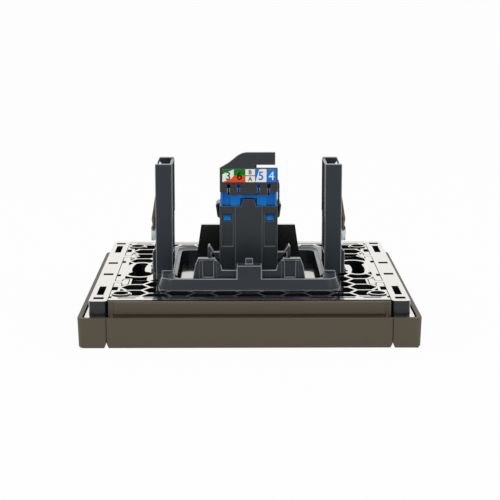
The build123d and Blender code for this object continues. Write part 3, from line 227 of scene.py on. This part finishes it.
# Polished polyamide: black from above and near white at a low angle, greyer on the carrier
plate_plastic = polished_black("plate_polyamide_polished_black", "#f1efea")
carrier_plastic = polished_black("carrier_polyamide_polished_black", "#d2d1cd")
# Zinc plate: bright and neutral, with duller spots
zinc = plated_metal("zinc_plated_steel", "#d4d7da", "#a5a9ae", 0.28, 0.3, 0.01)
# Spring steel: brown-grey on the claws, a painted reflection of the brown surroundings
claw_steel = plated_metal("spring_steel_claw", "#85755f", "#544b41", 0.4, 0.35, 0.01)
spring_steel = plated_metal("spring_steel_wire", "#b9bbbd", "#8f9194", 0.25, 0.3, 0.005)
# Gold flash over bronze: warm yellow and smooth
gold = plated_metal("gold_flashed_bronze", "#e2bb62", "#c79a45", 0.22, 0.3, 0.004)
# Tin over bronze: pale and slightly frosted
tin = plated_metal("tinned_bronze", "#b9b8b2", "#8f8e89", 0.35, 0.3, 0.006)
# Green solder mask: glossy lacquer over the board
board_mask = moulded_plastic("board_solder_mask", "#1c5a33", "#22693c", 0.2, 0.5, 0.006)
# Printed polyester film: each ink a flat, slightly glossy colour
label_film = moulded_plastic("label_film_white", "#fbfbf8", "#f6f6f2", 0.5, 0.3, 0.002, ior=1.3)
label_inks = {
    name: moulded_plastic("label_ink_" + name, colour, shade, 0.5, 0.3, 0.002, ior=1.25)
    for name, colour, shade in (
        ("green", "#067a14", "#0a841a"), ("orange", "#f34a17", "#f6551f"), ("blue", "#1178dd", "#187fe2"),
        ("brown", "#6b3a1c", "#744121"), ("white", "#fdfdfb", "#f8f8f5"), ("black", "#0e0f10", "#141516"))}


def riding_piece(name, mesh, body):
    """A mesh as a piece of its own that rides on a body, with the materials its mesh carries."""
    piece = bpy.data.objects.new(name, mesh)
    bpy.context.scene.collection.objects.link(piece)
    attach(piece, body)
    return piece


def own_mesh(node, material, reshape=None):
    """A copy of a CAD node's mesh with its doubles merged and one material. Reshape is
    called on the open copy."""
    mesh = nodes[node].data.copy()
    mesh.materials.clear()
    mesh.materials.append(material)
    shape = bmesh.new()
    shape.from_mesh(mesh)
    bmesh.ops.remove_doubles(shape, verts=shape.verts, dist=DOUBLES_GAP)
    if reshape:
        reshape(shape)
    shape.to_mesh(mesh)
    shape.free()
    mesh.shade_smooth()
    return mesh


def inner_edges_of_plain_flats(shape):
    """The edges inside every flat face that has no hole in it. A flat with a hole keeps its
    triangles: as a single polygon it would be filled in again right across the hole. Each
    patch grows while it is walked, always in the mesh's own order, so every run is alike."""
    inner = []
    seen = set()
    for start in shape.faces:
        if start in seen:
            continue
        seen.add(start)
        patch = [start]
        joins = {}
        for face in patch:
            for edge in face.edges:
                if len(edge.link_faces) != 2 or edge.calc_face_angle(math.pi) > FLAT_BEND:
                    continue
                joins[edge] = True
                beside = [near for near in edge.link_faces if near not in seen]
                seen.update(beside)
                patch += beside
        corners = {corner for face in patch for corner in face.verts}
        borders = {edge for face in patch for edge in face.edges}
        if len(corners) - len(borders) + len(patch) == 1:
            inner += joins
    return inner


def weigh_sharp_edges(shape, width):
    """Bevel weights that leave room: a sharp edge gets the whole width, or just under half
    of the shortest bent edge that meets it where that is less."""
    layer = shape.edges.layers.float.new("bevel_weight_edge")
    for edge in shape.edges:
        if len(edge.link_faces) == 2 and edge.calc_face_angle(0.0) > SHARP_BEND:
            beside = [near.calc_length() for corner in edge.verts for near in corner.link_edges
                      if near is not edge and near.calc_face_angle(0.0) > CORNER_BEND]
            room = ROOM_SHARE * min(beside, default=width / ROOM_SHARE)
            edge[layer] = max(LEAST_WEIGHT, min(1.0, room / width))


def softened(node, material, radius_mm, body, edge=None, side=None):
    """A copy of a CAD node with its edges rounded as a mould rounds them: doubles merged, flat faces joined,
    then a small two-step bevel on every sharp edge. The rounded edges can take a material of their own, a
    painted highlight, and so can the faces whose normal lies along X, painted shade."""
    radius = radius_mm * MM

    def ready_for_bevel(shape):
        bmesh.ops.dissolve_limit(
            shape, angle_limit=FLAT_BEND, verts=shape.verts, edges=inner_edges_of_plain_flats(shape))
        bmesh.ops.triangulate(shape, faces=[face for face in shape.faces if len(face.verts) > 4])
        weigh_sharp_edges(shape, radius)

    mesh = own_mesh(node, material, ready_for_bevel)
    if edge:
        mesh.materials.append(edge)
    if side:
        # The side material paints shade on the faces along X
        mesh.materials.append(side)
        normals = np.empty(len(mesh.polygons) * 3)
        mesh.polygons.foreach_get("normal", normals)
        along_x = np.abs(normals.reshape(-1, 3)[:, 0]) > ALONG_X
        mesh.polygons.foreach_set("material_index", np.where(along_x, SIDE_MATERIAL, 0).astype(np.int32))
    piece = riding_piece(node + "_finish", mesh, body)
    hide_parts(node)
    bevel = piece.modifiers.new("edge", "BEVEL")
    bevel.width = radius
    bevel.segments = 2
    bevel.limit_method = "WEIGHT"
    bevel.use_clamp_overlap = False
    # The edge material paints a highlight on the rounded edges
    bevel.material = 1 if edge else -1
    weighted = piece.modifiers.new("shade", "WEIGHTED_NORMAL")
    weighted.weight = 100
    weighted.keep_sharp = False
    return piece


def dress(node, material):
    """A CAD node that keeps its own mesh gets its material."""
    mesh = nodes[node].data
    mesh.materials.clear()
    mesh.materials.append(material)


softened("cover_frame", cover_plastic, 0.18, "socket")
softened("face_plate", cover_plastic, 0.15, "socket")
softened("dust_shutter", shutter_plastic, 0.08, "shutter")
softened("mechanism_frame", bracket_plastic, 0.16, "socket", bracket_painted_edge_highlight, bracket_painted_side_shade)
softened("jack_body", jack_plastic, 0.13, "socket", jack_painted_edge_highlight)
softened("contact_block", block_plastic, 0.1, "socket", block_edge)
softened("wire_cap", jack_plastic, 0.1, "cap", jack_painted_edge_highlight)
softened("claw_left", claw_steel, 0.06, "claw_left")
softened("claw_right", claw_steel, 0.06, "claw_right")
softened("claw_nut_left", zinc, 0.14, "nut_left")
softened("claw_nut_right", zinc, 0.14, "nut_right")

for plain_node, plain_material in (
        ("support_plate", plate_plastic), ("side_rail_left", plate_plastic),
        ("side_rail_right", plate_plastic), ("port_carrier", carrier_plastic),
        ("claw_screw_left", zinc), ("claw_screw_right", zinc), ("jack_contacts", gold),
        ("contact_comb", dark_plastic), ("circuit_board", board_mask), ("idc_contacts", tin),
        ("wiring_label", label_film), ("wiring_label_rear", label_film)):
    dress(plain_node, plain_material)


def block_web(body):
    """The thin web that closes the contact block's middle between its two rows of blades,
    so that no daylight shows through the wire slots: a plain box, whose corners are the
    eight sign combinations of its half size about its centre."""
    signs = np.array([(x, y, z) for x in (-1, 1) for y in (-1, 1) for z in (-1, 1)])
    corners = signs * np.array(WEB_HALF_SIZE) + np.array(WEB_CENTRE)
    sides = [(0, 1, 3, 2), (4, 6, 7, 5), (0, 4, 5, 1), (2, 3, 7, 6), (0, 2, 6, 4), (1, 5, 7, 3)]
    mesh = bpy.data.meshes.new("contact_block_web")
    mesh.from_pydata(corners.tolist(), [], sides)
    mesh.materials.append(block_plastic)
    return riding_piece("contact_block_web", mesh, body)


def pressed_spring(node, material, body):
    """A copy of a coil spring's mesh as a piece of its own, with a mesh of its own, riding on a body; it
    keeps the CAD shape and is not pressed together."""
    piece = riding_piece(node + "_finish", own_mesh(node, material), body)
    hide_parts(node)
    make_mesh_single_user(piece)
    return piece


block_web("socket")
pressed_spring("shutter_spring", spring_steel, "socket")


def printed_areas(name, outlines, ink, label, layer, facing, body):
    """Flat printed areas on a label. An outline is (u, v) points, u along the label from
    its left as it is read and v up from its lower edge, both as shares of its size, and
    the point lies at corner + u * width + v * height, one ink step out for each layer. An
    outline whose area comes out negative is turned round, so that it faces outwards."""
    low, high = (np.array(corner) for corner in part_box(label))
    face_y = (low[1] if facing < 0 else high[1]) + facing * INK_STEP * layer
    points = []
    faces = []
    for outline in outlines:
        uv = np.array(outline)
        turned = np.roll(uv, -1, axis=0)
        if np.sum(uv[:, 0] * turned[:, 1] - turned[:, 0] * uv[:, 1]) < 0:
            uv = uv[::-1]
        along = uv[:, 0] if facing < 0 else 1.0 - uv[:, 0]
        x = low[0] + along * (high[0] - low[0])
        z = low[2] + uv[:, 1] * (high[2] - low[2])
        faces.append(tuple(range(len(points), len(points) + len(uv))))
        points += np.column_stack([x, np.full(len(uv), face_y), z]).tolist()
    mesh = bpy.data.meshes.new(name)
    mesh.from_pydata(points, [], faces)
    mesh.materials.append(label_inks[ink])
    return riding_piece(name, mesh, body)


def printed_sign(name, sign, ink, label, cell, share, height, facing, body):
    """One digit or letter as a flat mesh: the built-in face, scaled to a share of the
    label's height and centred on its place in the cell."""
    low, high = (np.array(corner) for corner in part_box(label))
    line = bpy.data.curves.new(name, "FONT")
    line.body = sign
    line.offset = 0.0 if ink == "white" else SIGN_STROKE
    carrier = bpy.data.objects.new(name, line)
    bpy.context.scene.collection.objects.link(carrier)
    bpy.context.view_layer.update()
    mesh = bpy.data.meshes.new_from_object(carrier.evaluated_get(bpy.context.evaluated_depsgraph_get()))
    bpy.data.objects.remove(carrier)
    flat = np.empty(len(mesh.vertices) * 3)
    mesh.vertices.foreach_get("co", flat)
    shape = flat.reshape(-1, 3)
    least, most = shape.min(axis=0), shape.max(axis=0)
    scale = height * (high[2] - low[2]) / (most[1] - least[1])
    centre = (least + most) / 2
    u = (CELL_EDGES[cell] + CELL_EDGES[cell + 1]) / 2
    along = u if facing < 0 else 1.0 - u
    face_y = (low[1] if facing < 0 else high[1]) + facing * INK_STEP * SIGN_LAYER
    placed = np.column_stack([
        low[0] + along * (high[0] - low[0]) - facing * (shape[:, 0] - centre[0]) * scale * SIGN_WIDTH,
        np.full(len(shape), face_y),
        low[2] + share * (high[2] - low[2]) + (shape[:, 1] - centre[1]) * scale])
    mesh.vertices.foreach_set("co", placed.ravel())
    mesh.materials.clear()
    mesh.materials.append(label_inks[ink])
    mesh.name = name
    return riding_piece(name, mesh, body)


def wiring_print(label, facing, body, left_inks, right_ink, signs):
    """The five cells of one label: two wires, the key of the two schemes, two wires."""
    e = CELL_EDGES
    prefix = label + "_"
    first, second = left_inks
    printed_areas(prefix + "first", [
        [(e[0], 0.6), (0.4 * e[1], 0.8), (0.75 * e[1], 0.88), (e[1], 1.0), (e[0], 1.0)],
        [(e[1], 0.5), (e[2], 0.5), (e[2], 1.0), (e[1], 1.0)]], first, label, 1, facing, body)
    printed_areas(prefix + "second", [
        [(e[0], 0.0), (e[1], 0.0), (e[1], 0.5), (0.8 * e[1], 0.28), (0.4 * e[1], 0.14)],
        [(e[1], 0.0), (e[2], 0.0), (e[2], 0.5), (e[1], 0.5)]], second, label, 1, facing, body)
    printed_areas(prefix + "right", [
        [(e[3], 0.0), (e[3] + 0.075, 1.0), (e[3], 1.0)],
        [(e[4], 0.0), (e[5], 0.0), (e[5], 1.0), (e[4], 1.0)]], right_ink, label, 1, facing, body)
    printed_areas(prefix + "lines", [
        [(e[2], 0.47), (e[3], 0.47), (e[3], 0.52), (e[2], 0.52)],
        *[[(x - HALF_LINE, 0.0), (x + HALF_LINE, 0.0), (x + HALF_LINE, 1.0), (x - HALF_LINE, 1.0)]
          for x in (e[2], e[3])]],
        "black", label, 2, facing, body)
    for cell, (sign, ink) in zip((0, 1, 3, 4), signs):
        printed_sign(prefix + "wire_%d" % cell, sign, ink, label, cell, 0.49, 0.66, facing, body)
    printed_sign(prefix + "scheme_b", "B", "black", label, 2, 0.77, 0.33, facing, body)
    printed_sign(prefix + "scheme_a", "A", "black", label, 2, 0.25, 0.33, facing, body)


wiring_print("wiring_label", -1, "cap", ("green", "orange"), "blue",
             (("3", "green"), ("6", "black"), ("5", "blue"), ("4", "white")))
wiring_print("wiring_label_rear", 1, "cap", ("orange", "green"), "brown",
             (("1", "black"), ("2", "black"), ("7", "brown"), ("8", "white")))


def looked_at(tree):
    """One for camera, glossy and transmission rays, and nought for all others."""
    rays = add_node(tree, "ShaderNodeLightPath")
    seen = add_node(tree, "ShaderNodeMath", {
        0: rays.outputs["Is Camera Ray"], 1: rays.outputs["Is Glossy Ray"]}, operation="MAXIMUM")
    seen = add_node(tree, "ShaderNodeMath", {
        0: seen.outputs[0], 1: rays.outputs["Is Transmission Ray"]}, operation="MAXIMUM")
    return seen.outputs[0]


# World: plain soft daylight from all round, white where it is looked at
world = bpy.data.worlds.new("studio")
bpy.context.scene.world = world
world.use_nodes = True
tree = world.node_tree
tree.nodes.clear()
eye = looked_at(tree)
soft = add_node(tree, "ShaderNodeBackground", {"Color": (1.0, 1.0, 1.0, 1.0), "Strength": 0.7})
white = add_node(tree, "ShaderNodeBackground", {"Color": (1.0, 1.0, 1.0, 1.0), "Strength": 1.0})
both = add_node(tree, "ShaderNodeMixShader", {0: eye, 1: soft.outputs[0], 2: white.outputs[0]})
tree.links.new(both.outputs[0], add_node(tree, "ShaderNodeOutputWorld").inputs["Surface"])

# Floor: pale table that shows white and still takes a trace of the socket's shadow
floor_mesh = bpy.data.meshes.new("floor")
floor_mesh.from_pydata([
    (x * FLOOR_HALF, y * FLOOR_HALF, -FLOOR_DROP) for x, y in ((-1, -1), (1, -1), (1, 1), (-1, 1))],
    [], [(0, 1, 2, 3)])
floor = bpy.data.objects.new("floor", floor_mesh)
bpy.context.scene.collection.objects.link(floor)
floor_material, tree, output, place = start_material("table_white")
eye = looked_at(tree)
paint = add_node(tree, "ShaderNodeBsdfDiffuse", {"Color": (0.9, 0.9, 0.9, 1.0)})
glow = add_node(tree, "ShaderNodeEmission", {"Color": (1.0, 1.0, 1.0, 1.0), "Strength": 1.0})
lit = add_node(tree, "ShaderNodeMixShader", {0: eye, 1: paint.outputs[0], 2: glow.outputs[0]})
half = add_node(tree, "ShaderNodeMixShader", {0: 0.95, 1: paint.outputs[0], 2: lit.outputs[0]})
tree.links.new(half.outputs[0], output.inputs["Surface"])
floor_mesh.materials.append(floor_material)


def soft_lamp(name, place, size, energy):
    """A square soft box that looks at the socket."""
    lamp = bpy.data.lights.new(name, "AREA")
    lamp.size = size
    lamp.energy = energy
    holder = bpy.data.objects.new(name, lamp)
    bpy.context.scene.collection.objects.link(holder)
    holder.location = place
    toward = np.array(CAMERA_TARGET) - np.array(place)
    flat = math.hypot(toward[0], toward[1])
    holder.rotation_euler = (math.atan2(flat, -toward[2]), 0.0, math.atan2(-toward[0], toward[1]))
    return holder


soft_lamp("key", (-0.45, -0.55, 0.75), 0.5, 1.6)
soft_lamp("fill", (0.6, -0.5, 0.5), 0.6, 0.9)

camera_data = bpy.data.cameras.new("camera")
camera_data.sensor_width = SENSOR_WIDTH
camera_data.lens = SENSOR_WIDTH * FOCAL_PIXELS / FRAME_PIXELS
camera_data.clip_start = 0.01
camera = bpy.data.objects.new("camera", camera_data)
bpy.context.scene.collection.objects.link(camera)
look = np.array([
    math.sin(CAMERA_YAW) * math.cos(CAMERA_PITCH), math.cos(CAMERA_YAW) * math.cos(CAMERA_PITCH),
    -math.sin(CAMERA_PITCH)])
camera.location = np.array(CAMERA_TARGET) - look * CAMERA_DISTANCE
camera.rotation_euler = (math.pi / 2 - CAMERA_PITCH, 0.0, -CAMERA_YAW)
bpy.context.scene.camera = camera
bpy.context.scene.view_settings.view_transform = "Standard"
